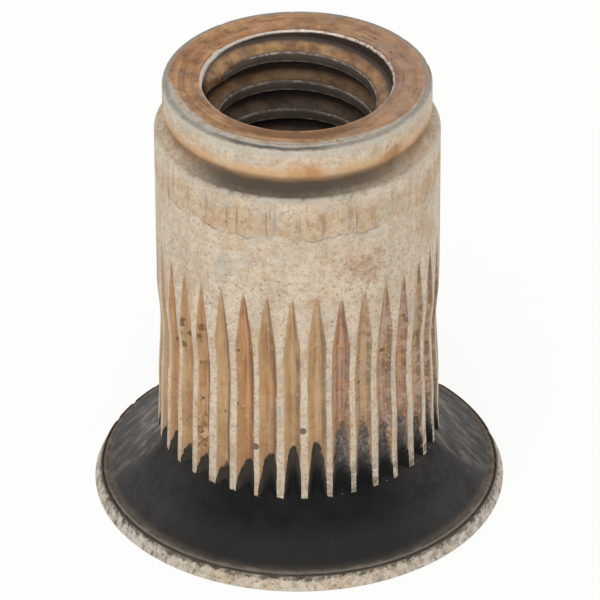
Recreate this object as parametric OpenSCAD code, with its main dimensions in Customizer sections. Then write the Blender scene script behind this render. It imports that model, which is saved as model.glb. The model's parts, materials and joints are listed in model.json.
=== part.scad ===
// Threaded insert: a blind rivet nut with a countersunk head, a splined sleeve and a turned nose.
// It takes an M4 screw and is set in a 6.1 mm hole. Sizes are in millimetres, angles in degrees.
// It stands on the outer face of its head with the nose up, and its origin is on the axis in that face.

/* [Shank] */
// Length over all, from the head's outer face to the end of the nose
length = 9.96; // [8.6:0.02:14]
// Diameter of the shank over the lands
shank_d = 6; // [5.8:0.02:6.6]
// Radius on the edge of the shank's shoulder
shoulder_round = 0.07; // [0.02:0.01:0.1]
// How far the sleeve is drawn in at its waist
waist_depth = 0.06; // [0.02:0.01:0.12]
// Height of the waist above the head's outer face
waist_z = 4.05; // [3.4:0.05:4.6]
// Length of the drawn-in stretch along the axis
waist_span = 2.3; // [1.6:0.1:2.8]

/* [Nose] */
// Diameter of the nose
nose_d = 5.64; // [5.3:0.02:5.7]
// Distance from the end of the nose to the shoulder
nose_h = 1.08; // [0.8:0.02:1.6]
// Radius on the edge of the nose
nose_round = 0.07; // [0.02:0.01:0.26]
// Radius of the round floor of the neck that is turned behind the nose
neck_r = 0.23; // [0.16:0.01:0.26]
// Depth of the neck below the side of the nose
neck_depth = 0.1; // [0.04:0.01:0.16]

/* [Splines] */
// Number of grooves around the sleeve
groove_count = 36; // [24:1:38]
// Depth of a groove below the shank's surface
groove_depth = 0.14; // [0.08:0.01:0.19]
// Radius of a groove's round floor
groove_r = 0.08; // [0.05:0.01:0.1]
// Included angle between a groove's flanks
groove_angle = 100; // [70:1:104]
// Length over which a groove runs out to its tip
runout_len = 1.3; // [0.7:0.05:1.6]
// Length of plain shank between the shoulder and the tips of the grooves
plain_len = 2.41; // [1.8:0.05:3.2]
// Angle of one land from the X axis
land_deg = 2.4; // [0:0.1:10]

/* [Head] */
// Diameter of the head at its outer face
head_d = 8.84; // [8:0.02:9.8]
// Included angle of the countersunk cone
head_angle = 90; // [82:1:100]
// Height of the rim
rim_h = 0.32; // [0.14:0.02:0.6]
// How much the rim draws in from its outer face to its top, on the radius
rim_draft = 0.11; // [0:0.01:0.2]
// Width of the flat ledge between the rim and the foot of the cone
ledge_w = 0.18; // [0.04:0.01:0.34]

/* [Bore] */
// Diameter of the threaded bore at the thread's crests
thread_d = 3.3; // [3.1:0.05:3.6]
// Diameter of the countersink at the thread's mouth
mouth_d = 3.96; // [3.7:0.02:4.5]
// Length of the threaded stretch, from the end of the nose
thread_len = 4.6; // [3.4:0.1:6]
// Diameter of the sleeve's bore
sleeve_d = 4.4; // [3.9:0.05:4.8]
// Included angle of the cone between the sleeve's bore and the thread
drill_angle = 118; // [90:1:130]
// Width of the chamfer at the head's outer face
entry_chamfer = 0.2; // [0.05:0.05:0.4]

/* [Hidden] */

// Facets of a turned surface, of the waist's large circle, of a small round and of a groove
turned_fn = 144;
waist_fn = 576;
round_fn = 48;
groove_fn = 32;
// A cutter reaches this far past the surface that it cuts
past = 0.3;

shank_r = shank_d / 2;
nose_r = nose_d / 2;
shoulder_z = length - nose_h;

// The waist is an arc of a large circle
waist_r = pow(waist_span / 2, 2) / (2 * waist_depth) + waist_depth / 2;

// A groove's floor follows the waist as two slopes, runs level beside it, and then rises to the tip
floor_r = shank_r - groove_depth;
waist_floor_r = floor_r - waist_depth;
waist_deg = atan(waist_depth / (waist_span / 2));
tip_z = shoulder_z - plain_len;
runout_z = tip_z - runout_len;
runout_deg = atan(groove_depth / runout_len);
// A rising channel leans in below its foot, and still reaches out past the shank there
channel_reach = runout_z * tan(runout_deg) + groove_depth + past;
// Widest opening of a channel, a little less than the pitch of the grooves
channel_w = 1.7 * floor_r * tan(180 / groove_count);
flank_deg = groove_angle / 2;

// The cone runs on inwards past the groove floors, so that each groove ends on it
rim_top_r = head_d / 2 - rim_draft;
foot_r = rim_top_r - ledge_w;
core_r = floor_r - groove_depth;
core_z = rim_h + (foot_r - core_r) / tan(head_angle / 2);

thread_r = thread_d / 2;
mouth_r = mouth_d / 2;
sleeve_r = sleeve_d / 2;
mouth_h = mouth_r - thread_r;
thread_end_z = length - thread_len;
sleeve_end_z = thread_end_z - (sleeve_r - thread_r) / tan(drill_angle / 2);

// What a radius takes off the square corner at [0, 0]
module corner_waste(radius) {
    translate([-radius, -radius])
        difference() {
            square(radius + past);
            circle(radius, $fn = round_fn);
        }
}

module shank_section() {
    difference() {
        square([shank_r, shoulder_z]);
        translate([shank_r, shoulder_z])
            corner_waste(shoulder_round);
        translate([shank_r - waist_depth + waist_r, waist_z])
            circle(waist_r, $fn = waist_fn);
    }
}

module nose_section() {
    translate([0, shoulder_z])
        square([nose_r, nose_h]);
}

// Half the shank's section, from the axis outwards, with the neck turned behind the nose
module turned_section() {
    difference() {
        union() {
            shank_section();
            nose_section();
        }
        translate([nose_r - neck_depth + neck_r, shoulder_z + neck_r])
            circle(neck_r, $fn = round_fn);
        translate([nose_r, length])
            corner_waste(nose_round);
    }
}

module turned_shank() {
    rotate_extrude($fn = turned_fn)
        turned_section();
}

// A channel's section, open outwards: a round floor, two flanks that leave it smoothly, and a mouth
module channel_section() {
    touch_x = -groove_r * sin(flank_deg);
    touch_y = groove_r * cos(flank_deg);
    mouth_x = touch_x + (channel_w / 2 - touch_y) / tan(flank_deg);
    circle(groove_r, $fn = groove_fn);
    polygon([
        [touch_x, -touch_y],
        [mouth_x, -channel_w / 2],
        [channel_reach, -channel_w / 2],
        [channel_reach, channel_w / 2],
        [mouth_x, channel_w / 2],
        [touch_x, touch_y]
    ]);
}

// A straight channel, whose floor passes through a radius at a height and leans outwards going up
module channel(through_r, through_z, lean_deg) {
    translate([through_r + groove_r, 0, through_z])
        rotate([0, lean_deg, 0])
            translate([0, 0, rim_h - through_z - past])
                linear_extrude(tip_z - rim_h + 3 * past)
                    channel_section();
}

// One groove's cutter, on the X side: where channels are intersected, the shallowest of them sets the floor
module groove_cutter() {
    intersection() {
        union() {
            channel(floor_r, runout_z, 0);
            intersection() {
                channel(waist_floor_r, waist_z, waist_deg);
                channel(waist_floor_r, waist_z, -waist_deg);
            }
        }
        channel(floor_r, runout_z, runout_deg);
    }
}

module groove_cutters() {
    pitch = 360 / groove_count;
    for (i = [0 : groove_count - 1])
        rotate([0, 0, land_deg + (i + 0.5) * pitch])
            groove_cutter();
}

module countersunk_head() {
    rotate_extrude($fn = turned_fn)
        polygon([
            [0, 0],
            [head_d / 2, 0],
            [rim_top_r, rim_h],
            [foot_r, rim_h],
            [core_r, core_z],
            [0, core_z]
        ]);
}

// Half the section of everything that is bored out, from the nose down to the head
module bore_section() {
    polygon([
        [0, length + past],
        [mouth_r + past, length + past],
        [thread_r, length - mouth_h],
        [thread_r, thread_end_z],
        [sleeve_r, sleeve_end_z],
        [sleeve_r, entry_chamfer],
        [sleeve_r + entry_chamfer + past, -past],
        [0, -past]
    ]);
}

module bore_cutter() {
    rotate_extrude($fn = turned_fn)
        bore_section();
}

module insert_body() {
    color([0.79, 0.73, 0.64])
        difference() {
            union() {
                difference() {
                    turned_shank();
                    groove_cutters();
                }
                countersunk_head();
            }
            bore_cutter();
        }
}

insert_body();
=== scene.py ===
"""A blind rivet nut with a countersunk head, a splined sleeve and a threaded nose, standing on its head.

The insert is one turned and rolled piece, so it is modelled as one closed mesh: the section is spun round the
axis, and the splines, the waist, the thread and the wear are then worked into the spun rings. Sizes are in
millimetres until the finished mesh is scaled.
"""
import json
import logging
import math
import random
from dataclasses import dataclass, field
from enum import Enum
from typing import Sequence, Union

import bmesh
import bpy
from mathutils import Matrix, Vector, noise


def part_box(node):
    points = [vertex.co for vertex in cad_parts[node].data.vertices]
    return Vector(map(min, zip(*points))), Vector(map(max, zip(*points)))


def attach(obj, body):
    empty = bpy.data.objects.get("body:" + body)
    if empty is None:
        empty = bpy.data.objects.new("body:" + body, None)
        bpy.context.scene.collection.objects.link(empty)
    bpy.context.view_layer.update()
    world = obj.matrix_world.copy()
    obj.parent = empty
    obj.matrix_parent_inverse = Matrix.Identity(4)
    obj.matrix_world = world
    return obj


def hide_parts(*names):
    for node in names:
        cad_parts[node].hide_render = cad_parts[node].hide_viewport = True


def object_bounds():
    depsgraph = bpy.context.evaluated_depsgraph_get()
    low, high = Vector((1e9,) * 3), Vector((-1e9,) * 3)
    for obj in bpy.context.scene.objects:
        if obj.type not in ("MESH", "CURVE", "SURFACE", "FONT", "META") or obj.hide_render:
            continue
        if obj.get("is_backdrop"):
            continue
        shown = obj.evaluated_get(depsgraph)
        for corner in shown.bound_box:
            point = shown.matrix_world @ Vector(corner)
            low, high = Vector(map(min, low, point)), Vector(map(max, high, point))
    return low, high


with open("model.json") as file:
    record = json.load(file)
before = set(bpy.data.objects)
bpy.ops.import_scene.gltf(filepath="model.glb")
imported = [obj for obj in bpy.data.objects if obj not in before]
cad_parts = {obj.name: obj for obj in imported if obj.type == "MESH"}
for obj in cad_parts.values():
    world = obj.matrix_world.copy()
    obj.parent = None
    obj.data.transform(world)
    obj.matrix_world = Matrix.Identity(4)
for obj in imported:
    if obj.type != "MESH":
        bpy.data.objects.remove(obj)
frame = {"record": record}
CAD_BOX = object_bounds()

LOG = logging.getLogger("threaded_insert")
NODE = "insert_body"
MM = 0.001
MERGE = 1e-4
SEED = 41
WHITE = (1.0, 1.0, 1.0, 1.0)
NOSE_HEIGHT = 1.08
COAT_LIP = 0.03

Point = tuple[float, float]
Range = tuple[float, float]
Spot = tuple[float, float, float]
Colour = tuple[int, int, int]
Plan = list["Ring"]


class Zone(Enum):
    """The surfaces of the insert, from the middle of the head's outer face up and round to the mouth."""

    FACE = "outer face of the head"
    RIM = "rim of the head"
    LEDGE = "ledge between the rim and the cone"
    CONE = "countersunk cone"
    FOOT = "line where the sleeve ends on the cone"
    SPLINES = "grooved part of the sleeve"
    SHANK = "plain part of the sleeve"
    NOSE = "neck, nose and top face"


class Part(Enum):
    """The material slots of the piece."""

    HEAD = 0
    SLEEVE = 1
    NOSE = 2
    BORE = 3


def part_of(zone: Zone) -> Part:
    """Returns the part whose material a zone takes.

    Args:
        zone: the surface.

    Returns:
        The part.
    """
    if zone in (Zone.FOOT, Zone.SPLINES, Zone.SHANK):
        return Part.SLEEVE
    return Part.NOSE if zone is Zone.NOSE else Part.HEAD


@dataclass(frozen=True)
class Ring:
    """One ring of the spun section.

    Args:
        r: radius in mm.
        z: height in mm.
        zone: the surface that the ring lies on.
    """

    r: float
    z: float
    zone: Zone


def smooth(value: float, low: float = 0.0, high: float = 1.0) -> float:
    """Eases from 0 at low to 1 at high.

    Args:
        value: the number to ease.
        low: where the rise starts.
        high: where the rise ends.

    Returns:
        A number from 0 to 1.
    """
    t = min(max((value - low) / (high - low), 0.0), 1.0)
    return t * t * (3 - 2 * t)


def blend(first: float, second: float, share: float) -> float:
    """Returns first at a share of 0, second at 1, and what lies between them otherwise."""
    return first + (second - first) * share


def line(start: Point, end: Point, count: int) -> list[Point]:
    """Spaces points evenly after a start.

    Args:
        start: the point before the first one.
        end: the last point.
        count: how many points there are.

    Returns:
        The points, without the start and with the end.
    """
    shares = [(i + 1) / count for i in range(count)]
    return [(blend(start[0], end[0], t), blend(start[1], end[1], t)) for t in shares]


def arc(centre: Point, radius: float, start_deg: float, end_deg: float, count: int) -> list[Point]:
    """Spaces points evenly along an arc of the section.

    Args:
        centre: the arc's centre.
        radius: the arc's radius.
        start_deg: the angle of the first point from the outward direction.
        end_deg: the angle of the last point.
        count: how many steps there are between them.

    Returns:
        The points, with both ends.
    """
    angles = [math.radians(blend(start_deg, end_deg, i / count)) for i in range(count + 1)]
    return [(centre[0] + radius * math.cos(a), centre[1] + radius * math.sin(a)) for a in angles]


def rings(points: Sequence[Point], zone: Zone) -> Plan:
    """Returns the points as rings of one zone."""
    return [Ring(r, z, zone) for r, z in points]


def grain(x: float, y: float, z: float) -> float:
    """Returns a smooth random number from about -1 to 1 that belongs to a place in mm."""
    return noise.noise(Vector((x, y, z)))


def angle_deg(vert: bmesh.types.BMVert) -> float:
    """Returns a vertex's angle round the axis, from +X towards +Y, from 0 to 360 degrees."""
    return math.degrees(math.atan2(vert.co.y, vert.co.x)) % 360.0


def put(vert: bmesh.types.BMVert, r: float, z: float, degrees: float) -> None:
    """Places a vertex by its radius and height in mm and its angle."""
    a = math.radians(degrees)
    vert.co = Vector((r * math.cos(a), r * math.sin(a), z))


@dataclass(frozen=True)
class Nick:
    """A small dent in an edge.

    Args:
        at_deg: its angle round the axis.
        wide_deg: half its width as an angle.
        deep: its depth in mm.
    """

    at_deg: float
    wide_deg: float
    deep: float

    def depth(self, degrees: float) -> float:
        """Returns how deep the nick is at an angle, in mm."""
        off = abs((degrees - self.at_deg + 180.0) % 360.0 - 180.0)
        return self.deep * (1.0 - smooth(off, 0.0, self.wide_deg))


@dataclass
class Head:
    """The countersunk head: its outer face, rim, ledge and cone."""

    rim_r: float
    foot_r: float
    entry_r: float
    rim_h: float = 0.32
    rim_draft: float = 0.11
    edge: float = 0.035
    lip_h: float = 0.018
    crease: float = 0.035
    face_step: float = 0.05
    bevel: float = 0.012
    ledge_dip: float = 0.008
    lip_profile: tuple[Point, ...] = ((0.094, 0.7), (0.078, 1.0), (0.035, 1.0))
    crease_out: float = 0.108
    foot_in: float = 0.06
    nick_count: int = 46
    nick_ranges: tuple[Range, ...] = ((0, 360), (0.6, 2.2), (0.006, 0.03))
    rng_seed: int = SEED
    nicks: list[Nick] = field(default_factory=list)

    def __post_init__(self) -> None:
        """Draws the nicks of the rim."""
        rng = random.Random(self.rng_seed)
        for _ in range(self.nick_count):
            self.nicks.append(Nick(*(rng.uniform(low, high) for low, high in self.nick_ranges)))

    @property
    def rim_top_r(self) -> float:
        """Returns the radius of the rim's top edge."""
        return self.rim_r - self.rim_draft

    def cone_z(self, r: float) -> float:
        """Returns the height of the 90 degree cone at a radius."""
        return self.rim_h + self.foot_r - r

    def plan(self, sleeve_r: float) -> Plan:
        """Lists the head's rings, from the entry chamfer outwards and up the cone.

        Args:
            sleeve_r: radius at which the cone meets the sleeve.

        Returns:
            The rings in order.
        """
        face_r = self.rim_r - self.edge
        ledge_r = self.rim_top_r - self.edge / 2
        face = [(self.entry_r, 0.0)] + line((self.entry_r, 0.0), (face_r - self.face_step, 0.0), 5)
        low_edge = arc((face_r, self.edge), self.edge, -90, -5, 3)
        side = line(low_edge[-1], (self.rim_top_r, self.rim_h - self.edge), 6)
        top_edge = arc((ledge_r - self.edge / 2, self.rim_h - self.edge), self.edge, 20, 90, 3)
        crease_z = self.rim_h - self.crease
        ledge = [
            (top_edge[-1][0] - self.bevel, self.rim_h - self.ledge_dip),
            (top_edge[-1][0] - 2 * self.bevel, crease_z),
            (self.foot_r + self.crease_out, crease_z - self.ledge_dip / 2),
            *((self.foot_r + out, self.rim_h + self.lip_h * share) for out, share in self.lip_profile),
            (self.foot_r - 0.01, self.rim_h + self.lip_h + self.ledge_dip),
        ]
        foot = (self.foot_r - self.foot_in, self.cone_z(self.foot_r - self.foot_in))
        cone = [foot] + line(foot, (sleeve_r + 0.04, self.cone_z(sleeve_r + 0.04)), 12)
        return (
            rings(face + low_edge, Zone.FACE)
            + rings(side + top_edge, Zone.RIM)
            + rings(ledge, Zone.LEDGE)
            + rings(cone, Zone.CONE)
        )

    def worn(self, ring: Ring, degrees: float) -> Point:
        """Gives the rim its nicks and its uneven edge.

        Args:
            ring: the ring that the vertex lies on.
            degrees: the vertex's angle.

        Returns:
            The radius and height of the vertex.
        """
        a = math.radians(degrees)
        wave = grain(5 * math.cos(a), 5 * math.sin(a), 3 * ring.z)
        if ring.zone is Zone.RIM:
            near_top = smooth(ring.z, 0.1, self.rim_h)
            dent = sum(nick.depth(degrees) for nick in self.nicks)
            return ring.r - 0.008 + 0.006 * wave - dent * near_top, ring.z - 0.5 * dent * near_top
        if ring.zone is Zone.LEDGE:
            return ring.r + 0.005 * wave, ring.z + 0.004 * grain(9 * math.cos(a), 9 * math.sin(a), 7.0)
        if ring.zone is Zone.CONE:
            lump = 0.008 * grain(2.2 * ring.r * math.cos(a), 2.2 * ring.r * math.sin(a), 2.0)
            return ring.r + lump, ring.z + lump
        return ring.r, ring.z


@dataclass(frozen=True)
class Groove:
    """What sets one rolled groove apart from the others.

    Args:
        shift_deg: how far its centre is off its place.
        tip: how far its tip is off the common height, in mm.
        deep: its depth as a share of the common one.
        lot: a random number from 0 to 1 that sets its colour.
    """

    shift_deg: float
    tip: float
    deep: float
    lot: float


@dataclass
class Sleeve:
    """The sleeve: a drawn-in waist, 36 tapered grooves with narrow lands, and a plain shank above them."""

    r: float
    foot_z: float
    top_z: float
    count: int = 36
    land_deg: float = 2.4
    groove_depth: float = 0.14
    groove_r: float = 0.08
    flank_deg: float = 40.0
    tip_z: float = 6.49
    runout: float = 1.3
    waist_z: float = 4.21
    waist_depth: float = 0.061
    waist_up: float = 1.0
    waist_down: float = 1.6
    flare_z: float = 2.4
    flare: float = 0.03
    land_edge: float = 0.012
    mark_low: float = 7.95
    mark_high: float = 8.7
    mark_soft: float = 0.1
    wobble_deg: float = 0.24
    halvings: int = 18
    even_from: float = 0.15
    even_to: float = 0.7
    groove_ranges: tuple[Range, ...] = ((-0.22, 0.22), (-0.1, 0.09), (0.9, 1.08))
    per_groove: int = 12
    narrowest_deg: float = 0.35
    across: tuple[float, ...] = (-1.0, -0.7, -0.42, -0.22, 0.0, 0.22, 0.42, 0.7, 1.0)
    lots: list[Groove] = field(default_factory=list)

    def __post_init__(self) -> None:
        """Draws the small differences between the grooves."""
        rng = random.Random(SEED + 1)
        for _ in range(self.count):
            shift_deg, tip, deep = (rng.uniform(low, high) for low, high in self.groove_ranges)
            self.lots.append(Groove(shift_deg, tip, deep, rng.random()))

    @property
    def columns(self) -> int:
        """Returns how many columns of faces go round the outside."""
        return self.count * self.per_groove

    @property
    def pitch_deg(self) -> float:
        """Returns the angle from one groove to the next."""
        return 360.0 / self.count

    def even_deg(self, column: int) -> float:
        """Returns a column's angle where the columns are evenly spaced, in step with the bore's."""
        step = 360.0 / self.columns
        return (column + round(self.land_deg / step)) * step

    def surface_r(self, z: float) -> float:
        """Returns the radius over the lands at a height.

        Args:
            z: the height in mm.

        Returns:
            The radius in mm.
        """
        span = self.waist_up if z > self.waist_z else self.waist_down
        waist = self.waist_depth * (1.0 - smooth(abs(z - self.waist_z), 0.0, span))
        flare = self.flare * (1.0 - smooth(z, self.foot_z, self.flare_z))
        return self.r - waist + flare

    def depth(self, z: float, groove: Groove) -> float:
        """Returns how deep a groove is at a height, in mm: it runs out evenly to its tip."""
        share = min(max((self.tip_z + groove.tip - z) / self.runout, 0.0), 1.0)
        return self.groove_depth * groove.deep * share

    def rise(self, across: float) -> float:
        """Works out how far a groove's round floor or its flank has risen.

        Args:
            across: the distance from the groove's middle in mm.

        Returns:
            The rise above the floor's lowest line in mm.
        """
        flank = math.radians(self.flank_deg)
        touch = self.groove_r * math.sin(flank)
        if across <= touch:
            return self.groove_r - math.sqrt(self.groove_r**2 - across**2)
        return self.groove_r * (1.0 - math.cos(flank)) + (across - touch) * math.tan(flank)

    def half_deg(self, z: float, groove: Groove) -> float:
        """Finds half a groove's width as an angle, by halving the stretch in which its edge lies.

        Args:
            z: the height in mm.
            groove: the groove.

        Returns:
            The angle in degrees.
        """
        surface, deep = self.surface_r(z), self.depth(z, groove)
        low, high = 0.0, self.groove_r + 2.0 * self.groove_depth
        for _ in range(self.halvings):
            middle = (low + high) / 2
            if math.hypot(surface - deep + self.rise(middle), middle) < surface:
                low = middle
            else:
                high = middle
        return math.degrees(math.asin(low / surface))

    def floor_r(self, z: float, groove: Groove, off_deg: float) -> float:
        """Returns the radius of a groove's floor or flank at an angle off its middle.

        Args:
            z: the height in mm.
            groove: the groove.
            off_deg: the angle off its middle.

        Returns:
            The radius in mm.
        """
        surface = self.surface_r(z)
        a = math.radians(off_deg)
        rise = self.rise(abs(surface * math.sin(a)))
        return min((surface - self.depth(z, groove) + rise) / math.cos(a), surface)

    def place(self, column: int, z: float, level: float = 0.0) -> tuple[float, float, float, float]:
        """Works out where a column of vertices lies at a height.

        Args:
            column: the column's number; every twelfth one is the middle of a land.
            z: the height in mm.
            level: 0 where the columns follow the groove, 1 where they are evenly spaced.

        Returns:
            The angle, the radius, the depth as a share of the full one, and the place across the groove.
        """
        number, step = divmod(column, self.per_groove)
        groove = self.lots[number % self.count]
        half_pitch = self.pitch_deg / 2
        even = -half_pitch + step * self.pitch_deg / self.per_groove
        centre = self.land_deg + (number + 0.5) * self.pitch_deg
        surface = self.surface_r(z)
        if step == 0:
            return centre + even, surface, 0.0, -1.0
        true_half = self.half_deg(z, groove)
        edge_deg = math.degrees(self.land_edge / surface)
        half = max(true_half, self.narrowest_deg)
        side = -1 if step < self.per_groove / 2 else 1
        if true_half > 0.0:
            half += self.wobble_deg * smooth(true_half, 0.5, 2.5) * grain(number + 0.37, 3.1 * side, 2.3 * z)
        if step in (1, self.per_groove - 1):
            off = side * (half + edge_deg)
            spot, radius, place = off, surface, float(side)
        else:
            place = self.across[step - 2]
            spot = half * place
            scale = true_half / half if half > 0.0 else 1.0
            radius = surface
            if true_half >= self.narrowest_deg:
                radius = self.floor_r(z, groove, spot * min(scale, 1.0))
            if abs(place) == 1.0:
                low, high, soft = self.mark_low, self.mark_high, self.mark_soft
                marked = smooth(z, low, low + soft) * smooth(z, high, high - soft)
                radius = surface - 0.5 * self.land_edge * max(smooth(true_half, 0.1, 0.5), marked)
        spot += groove.shift_deg * smooth(true_half, 0.5, 2.0)
        share = min((surface - radius) / self.groove_depth, 1.0)
        return centre + blend(spot, even, level), radius, max(share, 0.0), place

    def plan(self) -> Plan:
        """Lists the sleeve's rings from the cone up to the shoulder.

        Returns:
            The rings in order.
        """
        low = [(self.r, self.foot_z)]
        coat = line(low[-1], (self.r, 2.6), 15)
        body = line(coat[-1], (self.r, 5.1), 20)
        tips = line(body[-1], (self.r, self.tip_z + 0.14), 32)
        plain = line(tips[-1], (self.r, self.top_z), 15)
        return rings(low, Zone.FOOT) + rings(coat + body + tips, Zone.SPLINES) + rings(plain, Zone.SHANK)


@dataclass
class Nose:
    """The shoulder's edge, the neck behind the nose, the nose and its top face."""

    length: float
    shoulder_z: float
    shank_r: float
    mouth_r: float
    r: float = 2.82
    shoulder_round: float = 0.07
    neck_r: float = 0.23
    neck_depth: float = 0.1
    lip_round: float = 0.15
    corner: float = 0.07
    step_r: float = 2.46
    step: float = 0.012

    def plan(self) -> Plan:
        """Lists the rings from the shoulder's edge over the neck and the nose to the mouth.

        Returns:
            The rings in order.
        """
        turn = self.shoulder_round
        edge = arc((self.shank_r - turn, self.shoulder_z - turn), turn, 0, 90, 4)
        centre = (self.r - self.neck_depth + self.neck_r, self.shoulder_z + self.neck_r)
        inward = self.neck_r - self.neck_depth + self.lip_round
        up = math.sqrt((self.neck_r + self.lip_round) ** 2 - inward**2)
        touch_deg = math.degrees(math.atan2(up, inward))
        neck = arc(centre, self.neck_r, -100, -180 - touch_deg, 8)
        lip = arc((self.r - self.lip_round, centre[1] + up), self.lip_round, -touch_deg, 0, 6)[1:]
        side = line(lip[-1], (self.r, self.length - self.corner), 5)
        corner = arc((self.r - self.corner, self.length - self.corner), self.corner, 15, 90, 4)
        bare = line(corner[-1], (self.step_r + 0.02, self.length), 3)
        top = line((self.step_r, self.length - self.step), (self.mouth_r + 0.1, self.length - self.step), 4)
        lead = [(self.mouth_r + 0.06, self.length - self.step * 0.5), (self.mouth_r, self.length - Bore.lip)]
        return rings(edge + neck + lip + side + corner + bare + top + lead, Zone.NOSE)

    def worn(self, ring: Ring, degrees: float) -> Point:
        """Gives the nose its slightly uneven face and edges.

        Args:
            ring: the ring that the vertex lies on.
            degrees: the vertex's angle.

        Returns:
            The radius and height of the vertex.
        """
        if ring.r < self.mouth_r + 0.01:
            return ring.r, ring.z
        a = math.radians(degrees)
        wave = grain(3 * math.cos(a), 3 * math.sin(a), 2.5 * ring.z)
        chip = max(grain(14 * math.cos(a), 14 * math.sin(a), 5.0) - 0.35, 0.0)
        on_edge = smooth(ring.z, self.length - 0.1, self.length - 0.02) * smooth(ring.r, 2.6, 2.75)
        return ring.r + 0.004 * wave - 0.03 * chip * on_edge, ring.z - 0.02 * chip * on_edge


@dataclass
class Bore:
    """The hole: an entry chamfer, the sleeve's bore, the drill cone, the thread and its mouth."""

    length: float
    thread_r: float
    sleeve_r: float
    sleeve_end_z: float
    thread_end_z: float
    entry: float = 0.2
    root_r: float = 2.0
    pitch: float = 0.7
    crest_flat: float = 0.2
    flank_slope: float = 1.732
    first_crest_z: float = 9.5
    first_crest_deg: float = 90.0
    fade_deg: Range = (150.0, 192.0)
    mouth: float = 0.035
    lip: float = 0.008
    columns: int = 216
    burr: float = 0.006
    rough: float = 0.012
    rougher: float = 0.05
    roughest_deg: float = 48.0
    notch: Nick = Nick(146.0, 5.0, -0.05)

    @property
    def mouth_r(self) -> float:
        """Returns the outer radius of the broken edge at the mouth."""
        return self.root_r + self.mouth

    @property
    def mouth_z(self) -> float:
        """Returns the height at which the thread ends under the broken edge."""
        return self.length - self.mouth

    def tooth(self) -> list[tuple[float, float]]:
        """Lists one turn of the thread's profile as offsets from the crest's middle and radii.

        Returns:
            The profile's points from the lowest up.
        """
        half = self.crest_flat / 2
        flank = (self.root_r - self.thread_r) / self.flank_slope
        slope = self.flank_slope
        rise = [
            (half - 0.02, self.thread_r),
            (half + 0.008, self.thread_r + 0.008),
            (half + 0.3 * flank, self.thread_r + 0.3 * flank * slope),
            (half + 0.68 * flank, self.thread_r + 0.68 * flank * slope),
            (half + flank, self.root_r - 0.012),
        ]
        fall = [(-offset, r) for offset, r in reversed(rise)]
        return fall + [(0.0, self.thread_r)] + rise + [(self.pitch / 2, self.root_r)]

    def crest_share(self, crest_z: float) -> float:
        """Returns how much of the crest stands at a point of the helix: the first turn starts gradually."""
        rises = [self.pitch * (deg - self.first_crest_deg) / 360 for deg in self.fade_deg]
        return 1.0 - smooth(crest_z, *(self.first_crest_z + rise for rise in rises))

    def thread_shape(self, bm: bmesh.types.BMesh) -> None:
        """Spins one line of thread profile up a full turn, and trims it to the mouth and the drill cone.

        Args:
            bm: the empty mesh that takes the thread.
        """
        offset_key = bm.verts.layers.float.new("offset")
        radius_key = bm.verts.layers.float.new("radius")
        start = self.first_crest_z - self.pitch * self.first_crest_deg / 360
        turns = math.ceil((start - self.sleeve_end_z) / self.pitch) + 1
        chain = []
        for turn in range(turns, -2, -1):
            for offset, r in self.tooth():
                vert = bm.verts.new((r, 0.0, start - turn * self.pitch + offset))
                vert[offset_key], vert[radius_key] = offset, r
                chain.append(vert)
        edges = [bm.edges.new(pair) for pair in zip(chain, chain[1:])]
        rise = Vector((0.0, 0.0, self.pitch / self.columns))
        bmesh.ops.spin(
            bm, geom=chain + edges, cent=(0, 0, 0), axis=(0, 0, 1), dvec=rise, angle=math.tau,
            steps=self.columns, use_merge=False,
        )
        bmesh.ops.remove_doubles(bm, verts=bm.verts[:], dist=MERGE)
        for vert in bm.verts:
            z = vert.co.z
            share = self.crest_share(z - vert[offset_key])
            r = self.root_r - (self.root_r - vert[radius_key]) * share
            chamfer = self.root_r - 0.02 - (self.length - z)
            cone = self.thread_r + (self.thread_end_z - z) * self.drill_slope()
            degrees = angle_deg(vert)
            burr = self.burr * grain(9 * vert.co.x, 9 * vert.co.y, 9 * z)
            if z >= self.mouth_z:
                put(vert, self.root_r, self.mouth_z, degrees)
            elif z <= self.sleeve_end_z:
                put(vert, self.sleeve_r, self.sleeve_end_z, degrees)
            else:
                put(vert, max(r + burr * share, chamfer, min(cone, self.sleeve_r)), z, degrees)
        bmesh.ops.remove_doubles(bm, verts=bm.verts[:], dist=MERGE)
        bmesh.ops.dissolve_degenerate(bm, dist=MERGE, edges=bm.edges[:])

    def drill_slope(self) -> float:
        """Returns how fast the drill cone widens downwards."""
        return (self.sleeve_r - self.thread_r) / (self.thread_end_z - self.sleeve_end_z)

    def plain_shape(self, bm: bmesh.types.BMesh) -> None:
        """Adds the sleeve's bore with its chamfer and the mouth's broken edge, and halves the end edges.

        Args:
            bm: the mesh that holds the thread.
        """
        below = [(self.sleeve_r, self.sleeve_end_z)]
        below += line(below[-1], (self.sleeve_r, self.entry), 8)
        below += line(below[-1], (self.sleeve_r + self.entry, 0.0), 2)
        above = [(self.root_r, self.mouth_z)]
        above += line(above[-1], (self.mouth_r, self.length - self.lip), 2)
        for points in (below, above):
            chain = [bm.verts.new((r, 0.0, z)) for r, z in points]
            edges = [bm.edges.new(pair) for pair in zip(chain, chain[1:])]
            bmesh.ops.spin(
                bm, geom=chain + edges, cent=(0, 0, 0), axis=(0, 0, 1), angle=math.tau,
                steps=self.columns, use_merge=True,
            )
        bmesh.ops.remove_doubles(bm, verts=bm.verts[:], dist=5 * MERGE)
        ends = [edge for edge in bm.edges if edge.is_boundary]
        bmesh.ops.subdivide_edges(bm, edges=ends, cuts=1)

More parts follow.
